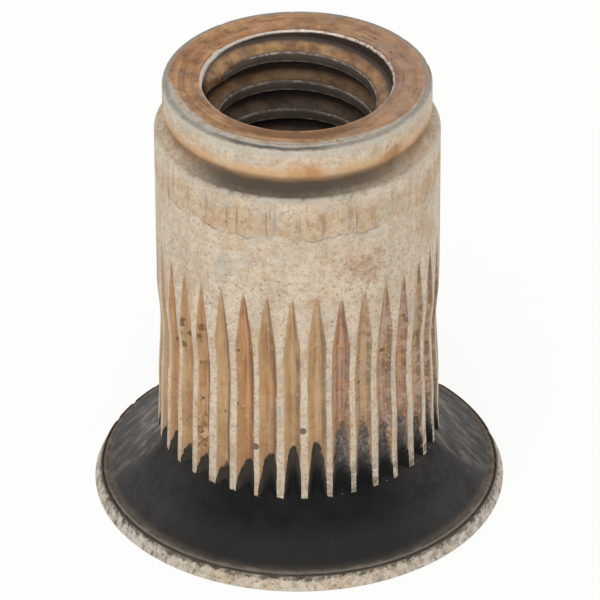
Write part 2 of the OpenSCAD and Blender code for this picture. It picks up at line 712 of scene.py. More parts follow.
    def mouth_wear(self, bm: bmesh.types.BMesh) -> None:
        """Roughens the mouth's edge, most at its back right, and notches it where the thread starts.

        Args:
            bm: the mesh that holds the bore.
        """
        for vert in bm.verts:
            z = vert.co.z
            r = math.hypot(vert.co.x, vert.co.y)
            if z < self.mouth_z - 0.001 or r > self.mouth_r + 0.01:
                continue
            degrees = angle_deg(vert)
            facing = math.cos(math.radians(degrees - self.roughest_deg))
            rough = self.rough + self.rougher * smooth(facing, 0.55, 0.95)
            wave = grain(12 * vert.co.x, 12 * vert.co.y, 4 * z)
            put(vert, r + rough * (wave + 0.2) * 0.7 - self.notch.depth(degrees), z, degrees)


@dataclass
class Coat:
    """Where the black coat ends: on the lip at the foot of the cone, and as fingers up the grooves."""

    land_z: float
    lip_r: float
    low: float = 0.5
    middle: float = 0.9
    high: float = 0.5
    fall: float = 0.45

    def reach(self, degrees: float, across: float, lot: float) -> float:
        """Works out how high the coat climbs at one place.

        Args:
            degrees: the angle round the axis.
            across: the place across the groove, from -1 to 1.
            lot: the groove's own random number.

        Returns:
            The height of the coat's upper edge in mm.
        """
        side = math.cos(math.radians(degrees))
        lean = 0.35 * smooth(-side, -0.2, 0.5)
        dome = 1.0 - 0.75 * min(abs(across - lean) / (1.0 + lean), 1.0) ** 3
        tall = self.low + self.middle * smooth(side, -0.6, 0.15)
        tall += self.high * smooth(side, 0.28, 0.42) - self.fall * smooth(side, 0.48, 0.64)
        return self.land_z + tall * dome * (0.82 + 0.36 * lot)


@dataclass
class Insert:
    """The whole insert as one closed piece."""

    head: Head
    sleeve: Sleeve
    nose: Nose
    bore: Bore
    coat: Coat
    sharp_deg: float = 38.0
    weld: float = 0.005
    lift_span: float = 0.55
    cone_blend: Range = (0.1, 0.6)
    grooved_from: float = 0.02

    def outside_plan(self) -> Plan:
        """Lists every ring of the outside, from the entry chamfer to the mouth."""
        return self.head.plan(self.sleeve.r) + self.sleeve.plan() + self.nose.plan()

    def outside_shape(self) -> bmesh.types.BMesh:
        """Spins the outside's section and works the grooves and the wear into it.

        Returns:
            The open shell of the outside.
        """
        plan = self.outside_plan()
        bm = bmesh.new()
        ring_key = bm.verts.layers.int.new("ring")
        chain = []
        for index, ring in enumerate(plan):
            vert = bm.verts.new((ring.r, 0.0, ring.z))
            vert[ring_key] = index
            chain.append(vert)
        edges = [bm.edges.new(pair) for pair in zip(chain, chain[1:])]
        bmesh.ops.spin(
            bm, geom=chain + edges, cent=(0, 0, 0), axis=(0, 0, 1), angle=math.tau,
            steps=self.sleeve.columns, use_merge=True,
        )
        for face in bm.faces:
            lowest = min(vert[ring_key] for vert in face.verts)
            face.material_index = part_of(plan[lowest].zone).value
        keys = {name: bm.verts.layers.float.new(name) for name in ("depth", "across", "lot", "coat")}
        for vert in bm.verts:
            column = round(angle_deg(vert) * self.sleeve.columns / 360.0) % self.sleeve.columns
            self.work(vert, plan[vert[ring_key]], column, keys)
        return bm

    def work(self, vert: bmesh.types.BMVert, ring: Ring, column: int, keys: dict[str, object]) -> None:
        """Moves one vertex of the outside to its place, and notes what the finish needs to know there.

        Args:
            vert: the vertex.
            ring: the ring that it was spun on.
            column: its column.
            keys: the layers of the noted values.
        """
        sleeve = self.sleeve
        lot = sleeve.lots[(column // sleeve.per_groove) % sleeve.count].lot
        share, across = 0.0, 0.0
        if ring.zone in (Zone.FOOT, Zone.SPLINES, Zone.SHANK):
            level = smooth(ring.z, sleeve.tip_z + sleeve.even_from, sleeve.tip_z + sleeve.even_to)
            degrees, r, share, across = sleeve.place(column, ring.z, level)
            lift = self.head.cone_z(r) - sleeve.foot_z
            z = ring.z + lift * (1.0 - smooth(ring.z, sleeve.foot_z, sleeve.foot_z + self.lift_span))
        elif ring.zone is Zone.CONE:
            level = smooth(ring.r, *(sleeve.r + out for out in self.cone_blend))
            degrees, _, _, across = sleeve.place(column, sleeve.foot_z, level)
            r, z = self.head.worn(ring, degrees)
        else:
            degrees = sleeve.even_deg(column)
            worker = self.nose if ring.zone is Zone.NOSE else self.head
            r, z = worker.worn(ring, degrees)
        put(vert, r, z, degrees)
        edge = self.coat.land_z
        if ring.zone in (Zone.FOOT, Zone.SPLINES) and share > self.grooved_from:
            edge = self.coat.reach(degrees, across, lot)
        coat = edge - z
        if ring.zone in (Zone.LEDGE, Zone.RIM, Zone.FACE):
            coat = self.coat.lip_r - r
        for name, value in (("depth", share), ("across", across), ("lot", lot), ("coat", coat)):
            vert[keys[name]] = value

    def shape(self) -> bpy.types.Mesh:
        """Joins the outside and the bore into one closed mesh.

        Returns:
            The finished mesh.
        """
        bore = bmesh.new()
        self.bore.thread_shape(bore)
        self.bore.plain_shape(bore)
        for face in bore.faces:
            face.material_index = Part.BORE.value
        bore_mesh = bpy.data.meshes.new("bore")
        bore.to_mesh(bore_mesh)
        bore.free()
        bm = self.outside_shape()
        bm.from_mesh(bore_mesh)
        bpy.data.meshes.remove(bore_mesh)
        ends = {vert for edge in bm.edges if edge.is_boundary for vert in edge.verts}
        bmesh.ops.remove_doubles(bm, verts=list(ends), dist=self.weld)
        self.bore.mouth_wear(bm)
        bmesh.ops.recalc_face_normals(bm, faces=bm.faces[:])
        bmesh.ops.scale(bm, vec=(MM, MM, MM), verts=bm.verts[:])
        for face in bm.faces:
            face.smooth = True
        left_open = sum(1 for edge in bm.edges if len(edge.link_faces) != 2)
        mesh = bpy.data.meshes.new(NODE)
        bm.to_mesh(mesh)
        bm.free()
        mesh.set_sharp_from_angle(angle=math.radians(self.sharp_deg))
        LOG.info("mesh: %d faces, %d open edges", len(mesh.polygons), left_open)
        return mesh

    def build(self) -> bpy.types.Object:
        """Makes the piece, dresses it and sets it in the frame.

        Returns:
            The piece.
        """
        mesh = self.shape()
        piece = bpy.data.objects.new("insert", mesh)
        bpy.context.scene.collection.objects.link(piece)
        outside = OutsideFinish()
        for part in Part:
            mesh.materials.append(BoreFinish().material() if part is Part.BORE else outside.material(part))
        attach(piece, "root")
        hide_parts(NODE)
        return piece


class Signal:
    """A number that varies over the surface: a socket that takes part in arithmetic."""

    def __init__(self, shader: "Nodes", socket: bpy.types.NodeSocket) -> None:
        """Wraps a socket of a tree."""
        self.shader = shader
        self.socket = socket

    def _math(self, operation: str, first: "Value", second: "Value" = 0.0) -> "Signal":
        """Adds one Math node and returns its result."""
        node = self.shader.node("ShaderNodeMath", {"operation": operation}, {0: first, 1: second})
        return Signal(self.shader, node.outputs[0])

    def __add__(self, other: "Value") -> "Signal":
        """Returns self + other."""
        return self._math("ADD", self, other)

    __radd__ = __add__

    def __sub__(self, other: "Value") -> "Signal":
        """Returns self - other."""
        return self._math("SUBTRACT", self, other)

    def __rsub__(self, other: "Value") -> "Signal":
        """Returns other - self."""
        return self._math("SUBTRACT", other, self)

    def __mul__(self, other: "Value") -> "Signal":
        """Returns self * other."""
        return self._math("MULTIPLY", self, other)

    __rmul__ = __mul__

    def __truediv__(self, other: "Value") -> "Signal":
        """Returns self / other."""
        return self._math("DIVIDE", self, other)

    def __rtruediv__(self, other: "Value") -> "Signal":
        """Returns other / self."""
        return self._math("DIVIDE", other, self)

    def __pow__(self, other: "Value") -> "Signal":
        """Returns self to a power."""
        return self._math("POWER", self, other)

    def __rpow__(self, other: "Value") -> "Signal":
        """Returns a number to the power of self."""
        return self._math("POWER", other, self)

    def __or__(self, other: "Value") -> "Signal":
        """Returns the larger of the two."""
        return self._math("MAXIMUM", self, other)

    __ror__ = __or__

    def __abs__(self) -> "Signal":
        """Returns the size of the number without its sign."""
        return self._math("ABSOLUTE", self)

    def rise(self, low: float, high: float) -> "Signal":
        """Returns a mask that eases from 0 at low to 1 at high; high may be the lower one."""
        node = self.shader.node(
            "ShaderNodeMapRange", {"interpolation_type": "SMOOTHSTEP"}, {0: self, 1: low, 2: high}
        )
        return Signal(self.shader, node.outputs[0])

    def band(self, low: float, high: float, soft: float) -> "Signal":
        """Returns a mask that is 1 between low and high and fades over soft on both sides."""
        return self.rise(low - soft, low) * self.rise(high + soft, high)


Value = Union[Signal, float]
Link = Union[Signal, bpy.types.NodeSocket]


def linear(colour: Colour) -> tuple[float, float, float, float]:
    """Turns an sRGB colour from 0 to 255 into a linear one for a shader.

    Args:
        colour: its red, green and blue.

    Returns:
        The linear red, green, blue and full cover.
    """
    parts = [value / 255 for value in colour]
    red, green, blue = (p / 12.92 if p <= 0.04045 else ((p + 0.055) / 1.055) ** 2.4 for p in parts)
    return red, green, blue, 1.0


class Nodes:
    """Makes the nodes of one tree, of a material or of the surround."""

    def __init__(self, tree: bpy.types.NodeTree) -> None:
        """Empties the tree."""
        self.tree = tree
        self.tree.nodes.clear()

    def node(self, kind: str, settings: dict | None = None, inputs: dict | None = None) -> bpy.types.Node:
        """Adds one node.

        Args:
            kind: the node's type.
            settings: its properties, which are set first.
            inputs: the values or links of its sockets, by name or number.

        Returns:
            The node.
        """
        node = self.tree.nodes.new(kind)
        for name, value in (settings or {}).items():
            setattr(node, name, value)
        for name, value in (inputs or {}).items():
            if isinstance(value, Signal):
                value = value.socket
            if isinstance(value, bpy.types.NodeSocket):
                self.tree.links.new(value, node.inputs[name])
            else:
                node.inputs[name].default_value = value
        return node

    def seen_directly(self) -> Signal:
        """Returns a mask of the rays that come from the camera, a reflection or a glass."""
        path = self.node("ShaderNodeLightPath").outputs
        names = ("Is Camera Ray", "Is Glossy Ray", "Is Transmission Ray")
        camera, glossy, passed = (Signal(self, path[name]) for name in names)
        return camera | glossy | passed


class Shader(Nodes):
    """Makes the nodes of one material, with the places and patterns that finishes are made from."""

    def __init__(self, name: str) -> None:
        """Starts an empty material."""
        self.material = bpy.data.materials.new(name)
        self.material.use_nodes = True
        super().__init__(self.material.node_tree)
        place = self.node("ShaderNodeTexCoord").outputs["Object"]
        self.place = self.stretched(place, (1 / MM, 1 / MM, 1 / MM))
        parts = self.node("ShaderNodeSeparateXYZ", {}, {0: self.place}).outputs
        self.x, self.y, self.z = (Signal(self, part) for part in parts)
        self.radius = (self.x * self.x + self.y * self.y) ** 0.5
        self.right = self.x / self.radius
        self.front = self.y / self.radius * -1.0

    def stretched(self, place: Link, factors: tuple[float, float, float]) -> bpy.types.NodeSocket:
        """Returns a place multiplied along each axis."""
        return self.node("ShaderNodeVectorMath", {"operation": "MULTIPLY"}, {0: place, 1: factors}).outputs[0]

    def along(self, x: float, y: float, z: float) -> bpy.types.NodeSocket:
        """Returns the point on the object multiplied along each axis."""
        return self.stretched(self.place, (x, y, z))

    def point(self, x: Value, y: Value, z: Value) -> bpy.types.NodeSocket:
        """Returns a place made of three numbers."""
        return self.node("ShaderNodeCombineXYZ", {}, {0: x, 1: y, 2: z}).outputs[0]

    def noise(self, scale: float, detail: float = 3.0, rough: float = 0.55, at: Link | None = None) -> Signal:
        """Returns soft noise from 0 to 1, with so many waves to the mm.

        Args:
            scale: waves to the mm.
            detail: how many finer layers there are.
            rough: how strong the finer layers are.
            at: the place, if it isn't the point on the object.

        Returns:
            The noise.
        """
        node = self.node(
            "ShaderNodeTexNoise", {},
            {"Vector": at or self.place, "Scale": scale, "Detail": detail, "Roughness": rough},
        )
        return Signal(self, node.outputs["Fac"])

    def specks(self, scale: float, size: float, share: float, at: Link | None = None) -> Signal:
        """Returns a mask of small spots.

        Args:
            scale: cells to the mm.
            size: a spot's radius as a share of its cell.
            share: the share of the cells that hold a spot.
            at: the place, if it isn't the point on the object.

        Returns:
            The mask.
        """
        cells = self.node("ShaderNodeTexVoronoi", {}, {"Vector": at or self.place, "Scale": scale})
        parts = self.node("ShaderNodeSeparateColor", {}, {0: cells.outputs["Color"]}).outputs
        held = Signal(self, parts[0]).rise(1.0 - share, 1.0 - share + 0.01)
        reach = Signal(self, parts[1]) * size + 0.4 * size
        distance = Signal(self, cells.outputs["Distance"]) + (self.noise(scale * 3.0, 2.0) - 0.5) * size
        return (distance / reach).rise(1.0, 0.55) * held

    def noted(self, name: str) -> Signal:
        """Returns a value that the mesh holds at its vertices."""
        node = self.node("ShaderNodeAttribute", {"attribute_name": name})
        return Signal(self, node.outputs["Fac"])

    def near(self, spot: tuple[float, float, float], reach: float) -> Signal:
        """Returns a mask that fades from 1 at a place to 0 at a distance in mm."""
        node = self.node("ShaderNodeVectorMath", {"operation": "DISTANCE"}, {0: self.place, 1: spot})
        return Signal(self, node.outputs["Value"]).rise(reach, 0.0)

    def mixed(self, under: Link | Colour, over: Link | Colour, share: Value) -> bpy.types.NodeSocket:
        """Returns one colour laid over another.

        Args:
            under: the colour at a share of 0.
            over: the colour at a share of 1.
            share: how much of the upper one shows.

        Returns:
            The mixed colour.
        """
        first, second = (linear(c) if isinstance(c, tuple) else c for c in (under, over))
        node = self.node("ShaderNodeMix", {"data_type": "RGBA"}, {0: share, 6: first, 7: second})
        return node.outputs[2]


@dataclass(frozen=True)
class Finish:
    """A finish as it looks close up.

    Args:
        light: its lighter colour.
        dark: its darker colour.
        rough: its roughness.
        metal: how metallic it is.
    """

    light: Colour
    dark: Colour
    rough: float
    metal: float


# Zinc, also laid as a painted highlight along the middle of each groove's floor.
ZINC_AND_SHEEN = Finish(light=(217, 202, 180), dark=(188, 170, 146), rough=0.5, metal=0.2)
GREY_ZINC = Finish(light=(200, 196, 184), dark=(172, 166, 152), rough=0.48, metal=0.3)
PINK_ZINC = Finish(light=(216, 191, 172), dark=(192, 164, 142), rough=0.52, metal=0.2)
WORN_RIM = Finish(light=(198, 191, 179), dark=(142, 134, 122), rough=0.5, metal=0.3)
BARE_EDGE = Finish(light=(192, 184, 171), dark=(146, 138, 126), rough=0.42, metal=0.4)
# Bright bare edge colour, also laid as a painted highlight along the thread's crest edges.
BARE_EDGE_AND_GLINT = Finish(light=(205, 192, 180), dark=(120, 102, 88), rough=0.4, metal=0.5)
# Tan veil, also laid as painted light on the left-hand wall of each groove.
TAN_VEIL_AND_LIGHT = Finish(light=(203, 174, 134), dark=(176, 144, 102), rough=0.6, metal=0.1)
RUST = Finish(light=(184, 136, 94), dark=(124, 86, 58), rough=0.75, metal=0.0)
STAIN = Finish(light=(193, 151, 107), dark=(147, 107, 73), rough=0.6, metal=0.1)
TOP_STAIN = Finish(light=(184, 142, 100), dark=(116, 80, 52), rough=0.6, metal=0.1)
MAUVE = Finish(light=(178, 150, 134), dark=(136, 110, 98), rough=0.6, metal=0.15)
YELLOW_STAIN = Finish(light=(218, 182, 136), dark=(206, 156, 106), rough=0.6, metal=0.1)
ORANGE = Finish(light=(208, 152, 106), dark=(172, 116, 74), rough=0.65, metal=0.05)
PALE_FLAKE = Finish(light=(224, 196, 160), dark=(196, 160, 120), rough=0.6, metal=0.1)
# Grime, also laid as painted shade in the neck, on each groove's right-hand wall and in the crease beside the
# rim.
GRIME_AND_SHADE = Finish(light=(116, 103, 90), dark=(68, 59, 51), rough=0.7, metal=0.0)
SLATE = Finish(light=(146, 143, 135), dark=(92, 91, 86), rough=0.55, metal=0.2)
BLACK_COAT = Finish(light=(30, 30, 30), dark=(12, 12, 12), rough=0.75, metal=0.0)
# Lighter coat colour laid as painted sheen and reflection streaks on the cone and as a painted highlight on
# the lip.
WORN_COAT_AND_SHEEN = Finish(light=(134, 130, 124), dark=(70, 68, 66), rough=0.6, metal=0.1)
ASH_COAT = Finish(light=(150, 142, 136), dark=(70, 66, 62), rough=0.7, metal=0.0)
BROWN_COAT = Finish(light=(118, 107, 95), dark=(66, 59, 53), rough=0.6, metal=0.05)
OXIDE = Finish(light=(100, 82, 69), dark=(54, 46, 41), rough=0.5, metal=0.2)
# Lighter brown laid on the thread's flanks as painted light from the mouth.
LIT_FLANK = Finish(light=(176, 137, 92), dark=(120, 88, 58), rough=0.45, metal=0.3)


class Layers:
    """Finishes laid over one another, from the metal up."""

    def __init__(self, shader: Shader, first: Finish, variation: Value) -> None:
        """Starts with the lowest finish.

        Args:
            shader: the material's nodes.
            first: the lowest finish.
            variation: where it shows its darker colour.
        """
        self.shader = shader
        self.colour = shader.mixed(first.light, first.dark, variation)
        self.rough: Value = first.rough
        self.metal: Value = first.metal
        self.height: Value = 0.0

    def tint(self, finish: Finish, variation: Value, mask: Signal) -> None:
        """Lays only a finish's colour, where it is too faint to change the gloss or the relief.

        It adds fewer nodes than a full layer does.

        Args:
            finish: the finish.
            variation: where it shows its darker colour.
            mask: where it lies.
        """
        over = self.shader.mixed(finish.light, finish.dark, variation)
        self.colour = self.shader.mixed(self.colour, over, mask)

    def lay(self, finish: Finish, variation: Value, mask: Signal, height: float = 0.0) -> None:
        """Lays a finish over the others.

        Args:
            finish: the finish.
            variation: where it shows its darker colour.
            mask: where it lies.
            height: how far it stands up or is sunk, in mm.
        """
        self.tint(finish, variation, mask)
        self.rough = self.rough + (finish.rough - self.rough) * mask
        self.metal = self.metal + (finish.metal - self.metal) * mask
        if height:
            self.height = self.height + mask * height

    def material(self, grain_height: Signal, specular: float) -> bpy.types.Material:
        """Closes the layers into a material.

        Args:
            grain_height: the fine relief of the whole surface, in mm.
            specular: the strength of the plain gloss.

        Returns:
            The material.
        """
        shader = self.shader
        relief = self.height + grain_height
        bump = shader.node("ShaderNodeBump", {}, {"Strength": 1.0, "Distance": MM, "Height": relief})
        surface = shader.node(
            "ShaderNodeBsdfPrincipled", {},
            {
                "Base Color": self.colour, "Roughness": self.rough, "Metallic": self.metal,
                "Normal": bump.outputs[0], "Specular IOR Level": specular,
            },
        )
        shader.node("ShaderNodeOutputMaterial", {}, {"Surface": surface.outputs[0]})
        return shader.material


@dataclass(frozen=True)
class OutsideFinish:
    """The outside: worn zinc, brown stain in the grooves and on top, and the black coat on the cone.

    Args:
        top_z: height of the top face in mm.
        stain_r: radius to which the top face is brown.
        pits: places in mm of the dark pits on the lands.
    """

    top_z: float = 9.96
    stain_r: float = 2.49
    pits: tuple[Spot, ...] = ((-0.915, -2.86, 2.66), (0.085, -3.0, 3.13))

    def material(self, part: Part) -> bpy.types.Material:
        """Builds the material of one part from the metal up.

        Each part has only the layers that reach it, which keeps every material small enough to render.

        Args:
            part: the part that it dresses.

        Returns:
            The material.
        """
        shader = Shader("worn_zinc_" + part.name.lower())
        cloud = shader.noise(1.1, 4.0)
        fine = shader.noise(9.0, 3.0)
        layers = Layers(shader, ZINC_AND_SHEEN, cloud.rise(0.42, 0.7) * 0.45 + fine.rise(0.5, 0.75) * 0.35)
        steps = {
            Part.HEAD: (self.weather, self.wear_rim, self.coat, self.wear_and_sheen_cone, self.brown_and_shade_ledge),
            Part.SLEEVE: (
                self.mark_band, self.weather, self.stain_and_shade_grooves,
                self.darken_neck, self.coat, self.burn_grooves,
            ),
            Part.NOSE: (self.weather, self.stain_nose, self.stain_top, self.darken_neck),
        }
        for step in (self.tint_zinc, *steps[part]):
            step(shader, layers)
        relief = (fine - 0.5) * 0.008 + (shader.noise(24.0, 2.0) - 0.5) * 0.004
        return layers.material(relief, 0.12)

    def on_top(self, shader: Shader) -> Signal:
        """Returns a mask of the top face."""
        return shader.z.rise(self.top_z - 0.05, self.top_z - 0.02)

    def groove(self, shader: Shader) -> Signal:
        """Returns a mask of the grooves."""
        return shader.noted("depth").rise(0.02, 0.2)

    def patchy(self, shader: Shader) -> Signal:
        """Returns a mask of the right-hand side, where the coat is patchy."""
        return shader.right.rise(0.1, 0.35)

    def coat_share(self, shader: Shader) -> Signal:
        """Returns how far a place lies inside the coat's ragged edge, in widths of that edge.

        Args:
            shader: the material's nodes.

        Returns:
            The share: 0 at the edge and above 0 inside.
        """
        groove, patchy = self.groove(shader), self.patchy(shader)
        ragged = shader.noise(5.0, 5.0, 0.72) - 0.5
        edge = shader.noted("coat") + ragged * (0.16 + 0.45 * groove + 1.75 * patchy * groove)
        return edge / (patchy * groove * 0.3 + 0.03)

    def tint_zinc(self, shader: Shader, layers: Layers) -> None:
        """Lays faint grey and pink clouds on the zinc, with a fine dark grain.

        Args:
            shader: the material's nodes.
            layers: the layers so far.
        """
        grey = shader.noise(1.5, 4.0, 0.6, shader.along(1.0, 1.0, 0.7))
        layers.tint(GREY_ZINC, shader.noise(6.0, 3.0), grey.rise(0.5, 0.64) * 0.6)
        pink = shader.noise(1.9, 4.0, 0.6, shader.along(-1.0, 1.0, 0.8))
        layers.tint(PINK_ZINC, shader.noise(7.0, 3.0), pink.rise(0.5, 0.64) * 0.55)
        layers.tint(GRIME_AND_SHADE, 0.1, shader.noise(16.0, 3.0, 0.65).rise(0.54, 0.68) * 0.34)
        layers.tint(GREY_ZINC, 0.8, shader.noise(5.0, 5.0, 0.7).rise(0.5, 0.6) * 0.45)
        layers.tint(TAN_VEIL_AND_LIGHT, 0.7, shader.noise(9.0, 4.0, 0.7).rise(0.5, 0.62) * 0.4)
        pale = shader.noise(10.0, 4.0, 0.7, shader.along(-1, 1, 1))
        layers.tint(PALE_FLAKE, 0.0, pale.rise(0.54, 0.66) * 0.3)
        low = shader.z.rise(7.6, 6.6)
        layers.tint(RUST, 0.2, shader.noise(8.0, 4.0, 0.7).rise(0.55, 0.66) * (low * 0.3 + 0.2))

    def mark_band(self, shader: Shader, layers: Layers) -> None:
        """Lays the band of fine upright marks below the shoulder, with its scratches and its lower edge.

        Args:
            shader: the material's nodes.
            layers: the layers so far.
        """
        sag = (shader.noise(2.6, 1.0, 0.5, shader.point(shader.x, shader.y, 0.0)) - 0.5) * 0.3
        height = shader.z + sag
        broken = shader.noise(1.2, 3.0).rise(0.35, 0.6) * 0.6 + 0.4
        band = height.rise(7.9, 7.98) * height.rise(8.62, 8.3) * broken
        layers.tint(TAN_VEIL_AND_LIGHT, shader.noise(12.0), band * 0.4)
        dots = shader.noise(8.5, 3.0, 0.65, shader.along(1.0, 1.0, 0.75))
        layers.lay(STAIN, 0.3, dots.rise(0.5, 0.58) * band * 0.6, -0.004)
        edge = abs(height - 7.9).rise(0.04, 0.012)
        dirty = edge * shader.noise(1.3, 3.0).rise(0.4, 0.55)
        layers.tint(GRIME_AND_SHADE, 0.1, dirty * shader.front.rise(0.2, 0.6) * 0.45)
        upright = shader.along(8.0, 8.0, 0.5)
        scratch = shader.noise(1.0, 1.0, 0.5, upright).rise(0.63, 0.68)
        layers.lay(RUST, 0.6, scratch * height.band(7.95, 8.45, 0.12) * 0.5, -0.005)
        thin = shader.noise(1.0, 1.0, 0.5, shader.along(13.0, 13.0, 0.7)).rise(0.7, 0.74)
        layers.lay(GRIME_AND_SHADE, 0.4, thin * height.band(7.95, 8.5, 0.12) * 0.6, -0.006)

    def weather(self, shader: Shader, layers: Layers) -> None:
        """Lays the veil, the upright streaks, the rust patch and the pits on the zinc.

        Args:
            shader: the material's nodes.
            layers: the layers so far.
        """
        side = 1.0 - self.on_top(shader)
        veil = shader.noise(1.7, 4.0, 0.6).rise(0.5, 0.68) * 0.5
        layers.tint(TAN_VEIL_AND_LIGHT, shader.noise(5.0, 3.0), veil * side)
        streaks = shader.noise(1.0, 3.0, 0.6, shader.along(8.0, 8.0, 0.7))
        layers.tint(TAN_VEIL_AND_LIGHT, 0.9, streaks.rise(0.52, 0.66) * abs(shader.right).rise(0.72, 0.95) * 0.6)
        patch = shader.near((1.3, -2.7, 7.0), 1.3) + (shader.noise(4.6, 5.0, 0.72) - 0.5) * 2.4
        layers.lay(RUST, shader.noise(9.0, 4.0, 0.7).rise(0.38, 0.66), patch.rise(0.55, 1.05) * side * 0.48)
        tips = abs(shader.z - 6.62 + (shader.noise(1.4) - 0.5) * 0.4).rise(0.07, 0.0)
        rusty = tips * shader.noise(5.0, 4.0, 0.7).rise(0.48, 0.6)
        layers.tint(RUST, 0.3, rusty * shader.front.rise(0.5, 0.8) * 0.4)
        blot = shader.noise(3.1, 5.0, 0.7).rise(0.6, 0.7)
        layers.tint(RUST, shader.noise(14.0, 3.0), blot * side * 0.3)
        layers.lay(GRIME_AND_SHADE, shader.noise(20.0, 2.0), shader.specks(5.5, 0.15, 0.2) * side * 0.5, -0.012)
        layers.lay(RUST, 0.6, shader.specks(8.0, 0.3, 0.45) * side * 0.36, -0.005)
        layers.tint(GRIME_AND_SHADE, 0.1, shader.specks(13.0, 0.34, 0.5) * side * 0.26)
        for spot in self.pits:
            layers.lay(GRIME_AND_SHADE, 0.7, shader.near(spot, 0.16).rise(0.35, 0.65) * 0.85, -0.015)

    def stain_nose(self, shader: Shader, layers: Layers) -> None:
        """Lays the yellow stain low on the nose, its grey upper edge and its rusty spots.

        Args:
            shader: the material's nodes.
            layers: the layers so far.
        """
        low = shader.z.band(9.2, 9.42, 0.2) * (shader.noise(1.6, 3.0).rise(0.3, 0.55) * 0.5 + 0.5)
        layers.tint(YELLOW_STAIN, shader.noise(4.0), low * 0.75)
        middle = shader.near((0.15, -2.82, 9.5), 0.95) + (shader.noise(3.0, 4.0, 0.6) - 0.5) * 0.8
        layers.tint(ORANGE, shader.noise(5.0) * 0.5, middle.rise(0.4, 0.85) * shader.z.rise(9.82, 9.6) * 0.45)
        flank = shader.z.band(9.2, 9.6, 0.2) * shader.front.rise(0.82, 0.4)
        brown = flank * shader.noise(1.5, 4.0, 0.65).rise(0.42, 0.6)
        layers.tint(STAIN, shader.noise(5.0, 3.0), brown * 0.42)
        blot = shader.near((0.3, -2.8, 9.42), 0.42) + (shader.noise(7.0, 3.0, 0.6) - 0.5)
        layers.tint(ORANGE, 0.7, blot.rise(0.5, 0.95) * 0.6)
        other = shader.near((1.95, -2.05, 9.35), 0.75) + (shader.noise(7.0, 4.0, 0.7) - 0.5) * 1.6
        layers.lay(RUST, shader.noise(10.0), other.rise(0.5, 0.9) * 0.75)
        upper = shader.z.rise(9.7, 9.86) * shader.radius.rise(2.74, 2.8)
        layers.tint(GREY_ZINC, 0.4, upper * 0.6)

    def stain_top(self, shader: Shader, layers: Layers) -> None:
        """Lays the brown of the top face, its turning marks, the bare ring and the dark line at its edge.

        Args:
            shader: the material's nodes.
            layers: the layers so far.
        """
        on_top = self.on_top(shader)
        marks_at = shader.point(shader.radius * 8.0, shader.right * 1.6, shader.front * 1.6)
        marks = shader.noise(1.0, 4.0, 0.65, marks_at)
        cloud = shader.noise(2.4, 5.0, 0.65)
        ring = shader.radius + (shader.noise(1.6, 4.0) - 0.5) * 0.2
        layers.lay(BARE_EDGE, shader.noise(7.0, 4.0, 0.65), on_top * 0.9)
        wide = shader.front.rise(0.35, -0.35) * 0.26 + shader.right.rise(0.45, 0.85) * 0.12
        brown = on_top * (ring - wide).rise(self.stain_r + 0.07, self.stain_r - 0.03)
        fine_at = shader.point(shader.radius * 24.0, shader.right * 2.4, shader.front * 2.4)
        fine_marks = shader.noise(1.0, 3.0, 0.6, fine_at)
        tone = cloud.rise(0.36, 0.66) * 0.55 + marks.rise(0.42, 0.62) * 0.35 + fine_marks.rise(0.4, 0.6) * 0.3
        layers.lay(TOP_STAIN, tone, brown * 0.95)
        layers.tint(MAUVE, marks, brown * shader.noise(2.0, 4.0, 0.65).rise(0.5, 0.66) * 0.6)
        layers.tint(YELLOW_STAIN, marks, brown * shader.noise(2.9, 4.0, 0.6).rise(0.58, 0.7) * 0.45)
        layers.tint(GRIME_AND_SHADE, 0.6, brown * shader.noise(5.0, 4.0, 0.7).rise(0.58, 0.68) * 0.6)
        back_left = shader.right.rise(0.35, -0.3) * shader.front.rise(0.3, -0.4)
        warm = back_left * shader.noise(3.5, 4.0, 0.7).rise(0.42, 0.6)
        layers.tint(ORANGE, marks.rise(0.4, 0.6), brown * warm * 0.55)
        layers.tint(MAUVE, marks, brown * shader.right.rise(0.4, 0.9) * 0.35)
        inner = (shader.radius + (shader.noise(2.0) - 0.5) * 0.12).band(2.13, 2.26, 0.1)
        inner = inner * shader.front.rise(0.7, 0.93)
        layers.tint(TOP_STAIN, 1.0, on_top * inner * 0.8)
        at_mouth = on_top * shader.radius.rise(2.13, 2.06)
        layers.tint(TOP_STAIN, 0.9, at_mouth * shader.front.rise(0.1, -0.3) * 0.5)
        specked = shader.noise(6.0, 4.0, 0.7).rise(0.5, 0.6)
        layers.tint(TOP_STAIN, 0.5, on_top * shader.radius.rise(2.44, 2.5) * specked * 0.45)
        groove_marks = shader.noise(1.0, 2.0, 0.6, shader.stretched(marks_at, (2.2, 0.4, 0.4)))
        groove_marks = groove_marks.rise(0.55, 0.66)
        layers.lay(GRIME_AND_SHADE, 0.2, on_top * groove_marks * 0.35, -0.004)
        specks = on_top * shader.specks(6.0, 0.2, 0.3)
        layers.lay(GRIME_AND_SHADE, 0.9, specks * shader.right.rise(0.0, 0.4) * 0.8, -0.01)
        thin = shader.radius + (shader.noise(2.4, 4.0) - 0.5) * 0.12
        edge = shader.z.rise(self.top_z - 0.08, self.top_z - 0.02) * thin.band(2.71, 2.76, 0.045)
        dark = shader.near((-0.7, -2.65, self.top_z), 1.5) + shader.noise(5.0, 3.0) * 0.3
        patchy = shader.noise(2.2, 4.0, 0.65).rise(0.35, 0.6) * 0.4 + 0.5
        layers.lay(SLATE, dark, edge * patchy)
        uneven = shader.noise(7.0, 3.0).rise(0.3, 0.6) * 0.4 + 0.6
        darkest = shader.near((-0.45, -2.72, self.top_z), 1.7).rise(0.0, 0.6) * uneven
        layers.tint(SLATE, 1.0, edge * darkest * 0.85)

